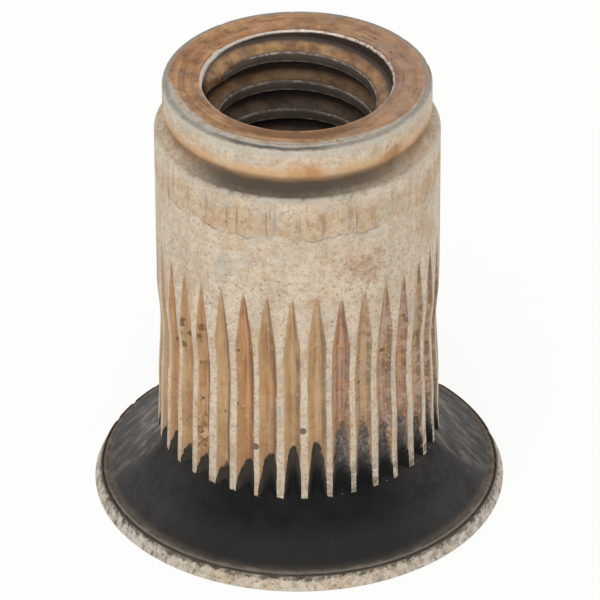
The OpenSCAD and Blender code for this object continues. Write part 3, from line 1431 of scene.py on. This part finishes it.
    def stain_and_shade_grooves(self, shader: Shader, layers: Layers) -> None:
        """Lays the brown stain of the grooves with its upright streaks, painted light on each groove's
        left-hand wall, painted shade on its right-hand wall, and a painted highlight along its floor.

        Args:
            shader: the material's nodes.
            layers: the layers so far.
        """
        groove = self.groove(shader)
        lot = shader.noted("lot")
        streak = shader.noise(1.0, 4.0, 0.6, shader.along(9.0, 9.0, 0.6))
        cloud = shader.noise(1.9, 5.0, 0.65)
        tone = streak.rise(0.38, 0.62) * 0.45 + cloud.rise(0.4, 0.65) * 0.4 + lot * 0.25
        layers.lay(STAIN, tone, groove * 0.96)
        orange = (lot + shader.noise(1.0, 4.0, 0.65) * 1.4 - 0.7).rise(0.5, 0.8)
        layers.tint(ORANGE, streak.rise(0.35, 0.6), groove * orange * 0.65)
        yellow = (lot + shader.noise(1.2, 3.0) - 0.5).rise(0.7, 0.4)
        layers.tint(TAN_VEIL_AND_LIGHT, streak.rise(0.4, 0.6), groove * yellow * 0.55)
        mauve = (shader.right * 0.9 + lot * 0.5).rise(0.25, 0.8)
        mauve = mauve * shader.noise(2.6, 4.0, 0.65).rise(0.38, 0.58)
        layers.tint(MAUVE, streak.rise(0.35, 0.65), groove * mauve * 0.8)
        low = shader.z.rise(3.7, 2.3) * shader.noise(2.4, 4.0, 0.65).rise(0.3, 0.6)
        layers.tint(RUST, 0.6, groove * low * 0.64)
        across = shader.noted("across")
        # Painted light: the left-hand wall of each groove is tinted lighter tan.
        layers.tint(TAN_VEIL_AND_LIGHT, 0.3, groove * across.rise(0.0, -0.85) * 0.4)
        # Painted highlight: a broken lighter zinc line along the middle of each groove's floor.
        broken = shader.noise(1.0, 3.0, 0.6, shader.along(5.0, 5.0, 0.9)).rise(0.38, 0.56)
        layers.tint(ZINC_AND_SHEEN, 0.7, groove * abs(across - 0.1).rise(0.22, 0.06) * (broken * 0.25 + 0.1))
        # Painted shade on the right-hand wall of each groove.
        wall = shader.noted("depth").band(0.1, 0.5, 0.12) * across.rise(0.1, 0.5)
        layers.tint(GRIME_AND_SHADE, 0.3, wall * (shader.noise(1.4, 3.0).rise(0.35, 0.6) * 0.4 + 0.25))
        mottle = shader.noise(5.0, 5.0, 0.72)
        layers.tint(MAUVE, 0.0, groove * mottle.rise(0.54, 0.64) * (shader.right.rise(0.0, 0.5) * 0.5 + 0.12))
        layers.tint(RUST, 1.0, groove * mottle.rise(0.46, 0.36) * (shader.right.rise(0.0, 0.5) * 0.35 + 0.25))
        layers.lay(PALE_FLAKE, 0.6, groove * shader.noise(6.0, 4.0, 0.7).rise(0.61, 0.66) * 0.6, 0.006)
        swirl = shader.noise(3.8, 5.0, 0.74, shader.along(1.0, 1.0, -1.0)).rise(0.49, 0.6)
        layers.tint(PINK_ZINC, mottle, groove * swirl * shader.right.rise(0.25, 0.6) * 0.5)
        layers.lay(GRIME_AND_SHADE, 0.7, groove * shader.specks(4.0, 0.2, 0.16) * 0.75, -0.012)
        layers.tint(YELLOW_STAIN, 0.2, groove * shader.specks(7.0, 0.22, 0.3) * 0.6)
        flaked = shader.near((-2.05, -2.05, 2.5), 1.1) + (shader.noise(8.0, 3.0, 0.6) - 0.5) * 4.0
        layers.lay(PALE_FLAKE, shader.noise(6.0), groove * flaked.rise(0.95, 1.1) * 0.85, 0.012)
        chipped = shader.near((-2.05, -2.05, 2.6), 1.2) + (shader.noise(7.0, 4.0, 0.65) - 0.5) * 4.0
        layers.lay(RUST, 1.0, groove * chipped.rise(1.05, 1.2) * 0.6, -0.012)
        pitted = shader.near((-2.3, -1.9, 4.7), 0.9).rise(0.1, 0.4)
        layers.lay(RUST, 1.0, groove * pitted * shader.specks(5.0, 0.5, 0.75) * 0.9, -0.02)

    def darken_neck(self, shader: Shader, layers: Layers) -> None:
        """Lays brown stain in the neck, grime and painted shade deepest under the nose and at the front,
        painted shade low on the left, and a painted highlight as a thin greyer line along the shoulder's
        edge.

        Args:
            shader: the material's nodes.
            layers: the layers so far.
        """
        uneven = (shader.noise(2.0, 4.0, 0.65) - 0.5) * 0.16
        height = shader.z + uneven
        brown = height.rise(8.9, 9.12) * height.rise(9.5, 9.24)
        beside = shader.front.rise(1.0, 0.5) * 0.3 + 0.45
        layers.lay(STAIN, shader.noise(4.0, 4.0, 0.65).rise(0.3, 0.6), brown * beside)
        # Grime and painted shade in the neck, darkest at the front under the nose's overhang.
        dirt_and_shade = height.rise(8.74, 8.98) * height.rise(9.31, 9.1)
        frontal = shader.front.rise(0.35, 0.97)
        layers.lay(GRIME_AND_SHADE, frontal * 0.75 + shader.noise(6.0, 3.0) * 0.2, dirt_and_shade * (frontal * 0.62 + 0.3))
        # Painted shade low in the neck on the left and at the front.
        left = shader.right.rise(0.42, 0.1) * shader.right.rise(-0.85, -0.45)
        pooled_shade = shader.z.rise(8.7, 8.84) * height.rise(9.14, 9.0) * shader.radius.rise(3.0, 2.9)
        layers.tint(GRIME_AND_SHADE, 0.9, pooled_shade * left * 0.6)
        # Painted highlight: a thin greyer line along the shoulder's rounded edge.
        shoulder = shader.z.band(8.8, 8.87, 0.03) * shader.radius.rise(2.9, 2.94)
        layers.tint(GREY_ZINC, 0.2, shoulder * shader.noise(5.0, 3.0).rise(0.4, 0.56) * 0.5)

    def wear_rim(self, shader: Shader, layers: Layers) -> None:
        """Greys the rim and gives it short dark strokes and small brown spots.

        Args:
            shader: the material's nodes.
            layers: the layers so far.
        """
        rim = shader.z.rise(0.36, 0.33) * shader.radius.rise(4.24, 4.28)
        aside = abs(shader.right).rise(0.3, 0.8) * 0.5 + 0.4
        layers.tint(WORN_RIM, shader.noise(5.0, 4.0, 0.65).rise(0.4, 0.66), rim * aside)
        slanted = shader.point(shader.right * 30.0, shader.front * 30.0, shader.z * 3.0)
        nick = shader.noise(1.0, 3.0, 0.65, slanted).rise(0.58, 0.66)
        layers.lay(GRIME_AND_SHADE, 0.5, rim * nick * (aside - 0.15), -0.01)
        layers.tint(TAN_VEIL_AND_LIGHT, shader.noise(6.0), rim * shader.noise(2.0, 3.0).rise(0.52, 0.66) * 0.3)
        mottle = shader.noise(7.0, 5.0, 0.72)
        layers.lay(GRIME_AND_SHADE, 0.1, rim * mottle.rise(0.52, 0.62) * 0.4, -0.006)
        layers.lay(GRIME_AND_SHADE, 0.5, rim * shader.specks(9.0, 0.3, 0.45) * 0.6, -0.01)
        worn = (shader.z + (mottle - 0.5) * 0.25).rise(0.2, 0.27) * rim
        layers.tint(GRIME_AND_SHADE, mottle.rise(0.4, 0.6), worn * (mottle.rise(0.36, 0.54) * 0.45 + 0.35))

    def brown_and_shade_ledge(self, shader: Shader, layers: Layers) -> None:
        """Browns the lip and the ledge, lays a painted highlight along the lip's top at the front, and lays
        grime and painted shade in the crease between the lip and the rim.

        Args:
            shader: the material's nodes.
            layers: the layers so far.
        """
        ledge = shader.z.rise(0.4, 0.36) * shader.radius.band(4.12, 4.285, 0.012)
        layers.lay(BROWN_COAT, shader.noise(4.0, 3.0).rise(0.3, 0.6) * 0.6 + 0.3, ledge * 0.92)
        # Painted highlight along the lip's top, strongest at the front.
        line = shader.z.rise(0.38, 0.35) * shader.radius.band(4.185, 4.215, 0.01)
        layers.tint(WORN_COAT_AND_SHEEN, shader.noise(3.0, 3.0) * 0.6, line * shader.front.rise(0.1, 0.5) * 0.75)
        # Grime and painted shade in the crease between the lip and the rim.
        layers.tint(GRIME_AND_SHADE, 0.9, shader.z.rise(0.38, 0.35) * shader.radius.band(4.235, 4.285, 0.012) * 0.85)

    def coat(self, shader: Shader, layers: Layers) -> None:
        """Lays the black coat with its ragged upper edge.

        Args:
            shader: the material's nodes.
            layers: the layers so far.
        """
        share = self.coat_share(shader)
        halo = share.rise(-2.6, 0.2) * self.groove(shader) * (1.0 - self.patchy(shader))
        layers.tint(BROWN_COAT, 0.9, halo * 0.45)
        tone = shader.noise(2.5, 4.0, 0.6)
        layers.lay(BLACK_COAT, tone.rise(0.35, 0.7) * 0.45 + 0.3, share.rise(-0.4, 1.0), 0.012)

    def burn_grooves(self, shader: Shader, layers: Layers) -> None:
        """Browns the coat inside the arches, greys it in the right-hand grooves, and dirties the land ends.

        Args:
            shader: the material's nodes.
            layers: the layers so far.
        """
        mask = self.coat_share(shader).rise(-0.4, 1.0)
        groove, patchy = self.groove(shader), self.patchy(shader)
        tone = shader.noise(2.5, 4.0, 0.6)
        inside = shader.noted("coat").rise(0.85, 0.2) * groove
        layers.tint(BROWN_COAT, tone * 0.5 + 0.3, mask * inside * (1.0 - patchy) * 0.42)
        grown = shader.noted("coat").rise(1.7, 0.2) * groove * patchy * shader.z.rise(1.6, 2.6)
        flaky = shader.noise(9.0, 5.0, 0.75)
        layers.tint(ASH_COAT, flaky.rise(0.35, 0.65), mask * grown * 0.85)
        layers.tint(BROWN_COAT, flaky, mask * grown * shader.noise(3.4, 4.0, 0.65).rise(0.48, 0.62) * 0.6)
        pale = shader.noise(6.0, 5.0, 0.72, shader.along(1.0, -1.0, 0.8)).rise(0.58, 0.66)
        layers.lay(ASH_COAT, 0.0, mask * grown.rise(0.1, 0.6) * pale * 0.65, 0.008)
        land_end = (1.0 - groove) * shader.z.rise(2.5, 1.5) * (1.0 - mask)
        dirty = shader.noise(5.0, 5.0, 0.72).rise(0.42, 0.58) * (shader.right.rise(0.0, 0.4) * 0.55 + 0.2)
        layers.tint(BROWN_COAT, tone, land_end * dirty)

    def wear_and_sheen_cone(self, shader: Shader, layers: Layers) -> None:
        """Lays painted sheen on the coated cone: lighter towards the sides, with painted reflection streaks
        there near the sleeve, faintly lighter towards the outer edge, and browner at its foot.

        Args:
            shader: the material's nodes.
            layers: the layers so far.
        """
        mask = self.coat_share(shader).rise(-0.4, 1.0)
        tone = shader.noise(2.5, 4.0, 0.6)
        # Painted sheen: the coat is lighter towards the sides.
        side_sheen = abs(shader.right).rise(0.45, 0.97) * (shader.noise(2.4, 5.0, 0.68).rise(0.3, 0.62) * 0.6 + 0.4)
        layers.tint(WORN_COAT_AND_SHEEN, 0.8, mask * side_sheen * 0.34)
        # Painted reflection streaks on the cone's sides, strongest near the sleeve.
        glint_streak_at = shader.point(shader.right * 16.0, shader.front * 16.0, shader.radius * 2.6)
        streak = shader.noise(1.0, 5.0, 0.68, glint_streak_at)
        aside = (abs(shader.right) * 0.985 - shader.front * 0.174).rise(0.87, 0.98)
        worn = mask * aside * (shader.radius.rise(4.1, 3.1) * 0.6 + 0.4)
        layers.tint(WORN_COAT_AND_SHEEN, 0.45, worn * (streak.rise(0.36, 0.6) * 0.55 + 0.35))
        layers.tint(WORN_COAT_AND_SHEEN, 0.0, worn * streak.rise(0.52, 0.64) * 0.8)
        layers.tint(WORN_COAT_AND_SHEEN, 0.9, mask * shader.radius.rise(3.3, 3.8) * (tone * 0.1 + 0.12))
        foot = shader.radius.rise(4.0, 4.13) * (abs(shader.right).rise(0.45, 0.9) * 0.45 + 0.3)
        layers.tint(BROWN_COAT, tone, mask * foot)


@dataclass(frozen=True)
class BoreFinish:
    """The bore: dark oxide, flanks painted lighter brown near the mouth as painted light, worn crests with a
    thin bright line along their edges that is partly a painted highlight, roots darkened by oxide and painted
    shade, and a bright broken edge.
    """

    edge_z: float = 9.9

    def material(self) -> bpy.types.Material:
        """Builds the material.

        Returns:
            The material.
        """
        shader = Shader("thread_oxide")
        cloud = shader.noise(2.2, 4.0, 0.6)
        layers = Layers(shader, OXIDE, cloud.rise(0.35, 0.65) * 0.6 + 0.4)
        # Painted light: the flanks that face the mouth are painted lighter brown, most near the mouth.
        flank = shader.radius.rise(1.68, 1.72) * shader.radius.rise(1.96, 1.84)
        lit = shader.z.rise(8.6, 9.45) * 0.75 + 0.12
        layers.lay(LIT_FLANK, shader.noise(3.2, 4.0, 0.65).rise(0.35, 0.65), flank * lit)
        stained = shader.noise(2.6, 4.0, 0.65).rise(0.48, 0.62)
        layers.lay(MAUVE, 0.9, flank * lit * stained * 0.5)
        layers.lay(GRIME_AND_SHADE, 0.4, shader.radius.rise(1.7, 1.66) * 0.5)
        # A thin dotted line along the crests' edges: a worn burr and a painted highlight.
        crest = abs(shader.noted("offset")).band(0.08, 0.115, 0.012) * shader.radius.rise(1.7, 1.665)
        dotted = shader.noise(7.0, 3.0, 0.65).rise(0.42, 0.62)
        layers.lay(BARE_EDGE_AND_GLINT, 0.4, crest * (dotted * 0.6 + 0.15))
        # Darker at the thread's roots below the mouth: oxide, and painted shade in the recess.
        root = shader.radius.rise(1.9, 1.96) * shader.z.rise(self.edge_z + 0.01, self.edge_z - 0.04)
        layers.lay(OXIDE, 0.85, root * 0.9)
        edge = shader.z.rise(self.edge_z - 0.01, self.edge_z + 0.02)
        pits = shader.noise(14.0, 4.0, 0.7).rise(0.5, 0.62)
        layers.lay(BARE_EDGE_AND_GLINT, pits * (0.35 + 0.6 * shader.right.rise(0.2, 0.7)), edge * 0.95)
        relief = (shader.noise(12.0, 3.0) - 0.5) * 0.012
        return layers.material(relief, 0.3)


@dataclass(frozen=True)
class Studio:
    """The pale floor, the white surround, one soft lamp and the camera."""

    floor_size: float = 0.6
    surround: float = 0.78
    floor_white: float = 0.86
    floor_colour: tuple[float, float, float, float] = (0.9, 0.9, 0.895, 1.0)
    glow_colour: tuple[float, float, float, float] = (1.0, 1.0, 0.995, 1.0)
    lens: float = 368.35
    sensor: float = 36.0
    camera_at: tuple[float, float, float] = (0.0363, -109.21, 76.22)
    looks_at: tuple[float, float, float] = (0.0363, 0.0, 4.469)
    roll_deg: float = -0.3
    lamp_at: Spot = (-25.0, -110.0, 150.0)
    lamp_size: float = 140.0
    lamp_power: float = 0.13

    def floor(self) -> bpy.types.Object:
        """Lays the pale floor, which looks near white and keeps the insert's shadow.

        Returns:
            The floor.
        """
        bm = bmesh.new()
        bmesh.ops.create_grid(bm, x_segments=1, y_segments=1, size=self.floor_size / 2)
        mesh = bpy.data.meshes.new("floor")
        bm.to_mesh(mesh)
        bm.free()
        floor = bpy.data.objects.new("floor", mesh)
        bpy.context.scene.collection.objects.link(floor)
        material = bpy.data.materials.new("pale_floor")
        material.use_nodes = True
        nodes = Nodes(material.node_tree)
        matt = nodes.node("ShaderNodeBsdfDiffuse", {}, {"Color": self.floor_colour})
        glow = nodes.node("ShaderNodeEmission", {}, {"Color": self.glow_colour, "Strength": 1.0})
        share = nodes.seen_directly() * self.floor_white
        mix = nodes.node("ShaderNodeMixShader", {}, {0: share, 1: matt.outputs[0], 2: glow.outputs[0]})
        nodes.node("ShaderNodeOutputMaterial", {}, {"Surface": mix.outputs[0]})
        mesh.materials.append(material)
        floor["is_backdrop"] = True
        return floor

    def sky(self) -> None:
        """Sets the white surround: full white where it is seen, and softer where it lights."""
        world = bpy.data.worlds.new("surround")
        bpy.context.scene.world = world
        world.use_nodes = True
        nodes = Nodes(world.node_tree)
        seen, lit = (
            nodes.node("ShaderNodeBackground", {}, {"Color": WHITE, "Strength": strength})
            for strength in (1.0, self.surround)
        )
        shares = {0: nodes.seen_directly(), 1: lit.outputs[0], 2: seen.outputs[0]}
        mix = nodes.node("ShaderNodeMixShader", {}, shares)
        nodes.node("ShaderNodeOutputWorld", {}, {"Surface": mix.outputs[0]})

    def lamp(self, name: str, at: tuple[float, float, float], size: float, power: float) -> None:
        """Hangs one soft lamp.

        Args:
            name: the lamp's name.
            at: its place in mm.
            size: the side of its square in mm.
            power: its power in watts.
        """
        data = bpy.data.lights.new(name, "AREA")
        data.shape = "SQUARE"
        data.size = size * MM
        data.energy = power
        lamp = bpy.data.objects.new(name, data)
        lamp.location = Vector(at) * MM
        lamp.rotation_euler = (Vector(self.looks_at) - Vector(at)).to_track_quat("-Z", "Y").to_euler()
        bpy.context.scene.collection.objects.link(lamp)

    def camera(self) -> None:
        """Sets the camera where the photograph was taken from."""
        data = bpy.data.cameras.new("camera")
        data.lens = self.lens
        data.sensor_width = self.sensor
        data.clip_start = 0.001
        camera = bpy.data.objects.new("camera", data)
        aim = (Vector(self.looks_at) - Vector(self.camera_at)).to_track_quat("-Z", "Y").to_matrix().to_4x4()
        roll = Matrix.Rotation(math.radians(self.roll_deg), 4, "Z")
        camera.matrix_world = Matrix.Translation(Vector(self.camera_at) * MM) @ aim @ roll
        bpy.context.scene.collection.objects.link(camera)
        bpy.context.scene.camera = camera

    def build(self) -> None:
        """Sets up the whole studio."""
        bpy.context.scene.view_settings.view_transform = "Standard"
        self.sky()
        self.floor()
        self.lamp("window", self.lamp_at, self.lamp_size, self.lamp_power)
        self.camera()


def mounts() -> dict[str, dict]:
    """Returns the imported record's mounts by name."""
    return {mount["name"]: mount for mount in frame["record"]["mounts"]}


def make_insert() -> Insert:
    """Takes the insert's main sizes from the frame.

    Returns:
        The insert, not yet built.
    """
    low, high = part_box(NODE)
    length = (high.z - low.z) / MM
    rim_r = (high.x - low.x) / MM / 2
    mount = mounts()
    thread, sleeve_bore, shank, seat = (
        mount[name] for name in ("thread", "sleeve_bore", "shank", "countersink_seat")
    )
    shank_r = shank["dims"]["r_mm"]
    foot_r = seat["dims"]["r_mm"]
    sleeve_r = sleeve_bore["dims"]["r_mm"]
    thread_end_z = thread["pos_m"][2] / MM - thread["dims"]["length_mm"] / 2
    sleeve_end_z = sleeve_bore["pos_m"][2] / MM + sleeve_bore["dims"]["length_mm"] / 2
    bore = Bore(length, thread["dims"]["r_mm"], sleeve_r, sleeve_end_z, thread_end_z)
    head = Head(rim_r, foot_r, sleeve_r + bore.entry)
    shoulder_z = length - NOSE_HEIGHT
    sleeve = Sleeve(shank_r, head.cone_z(shank_r), shoulder_z - Nose.shoulder_round)
    nose = Nose(length, shoulder_z, shank_r, bore.mouth_r)
    coat = Coat(sleeve.foot_z, foot_r + COAT_LIP)
    return Insert(head, sleeve, nose, bore, coat)


def note_size() -> None:
    """Works out the solid's box and the visual model's box, and does not keep them."""
    boxes = {"cad": CAD_BOX, "visual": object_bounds()}
    {name: [list(corner) for corner in box] for name, box in boxes.items()}


def main() -> None:
    """Builds the insert and the studio in order."""
    logging.basicConfig(level=logging.INFO, format="%(name)s %(message)s")
    piece = make_insert().build()
    LOG.info("built %s with %d vertices", piece.name, len(piece.data.vertices))
    Studio().build()
    note_size()


if __name__ == "__main__":
    main()
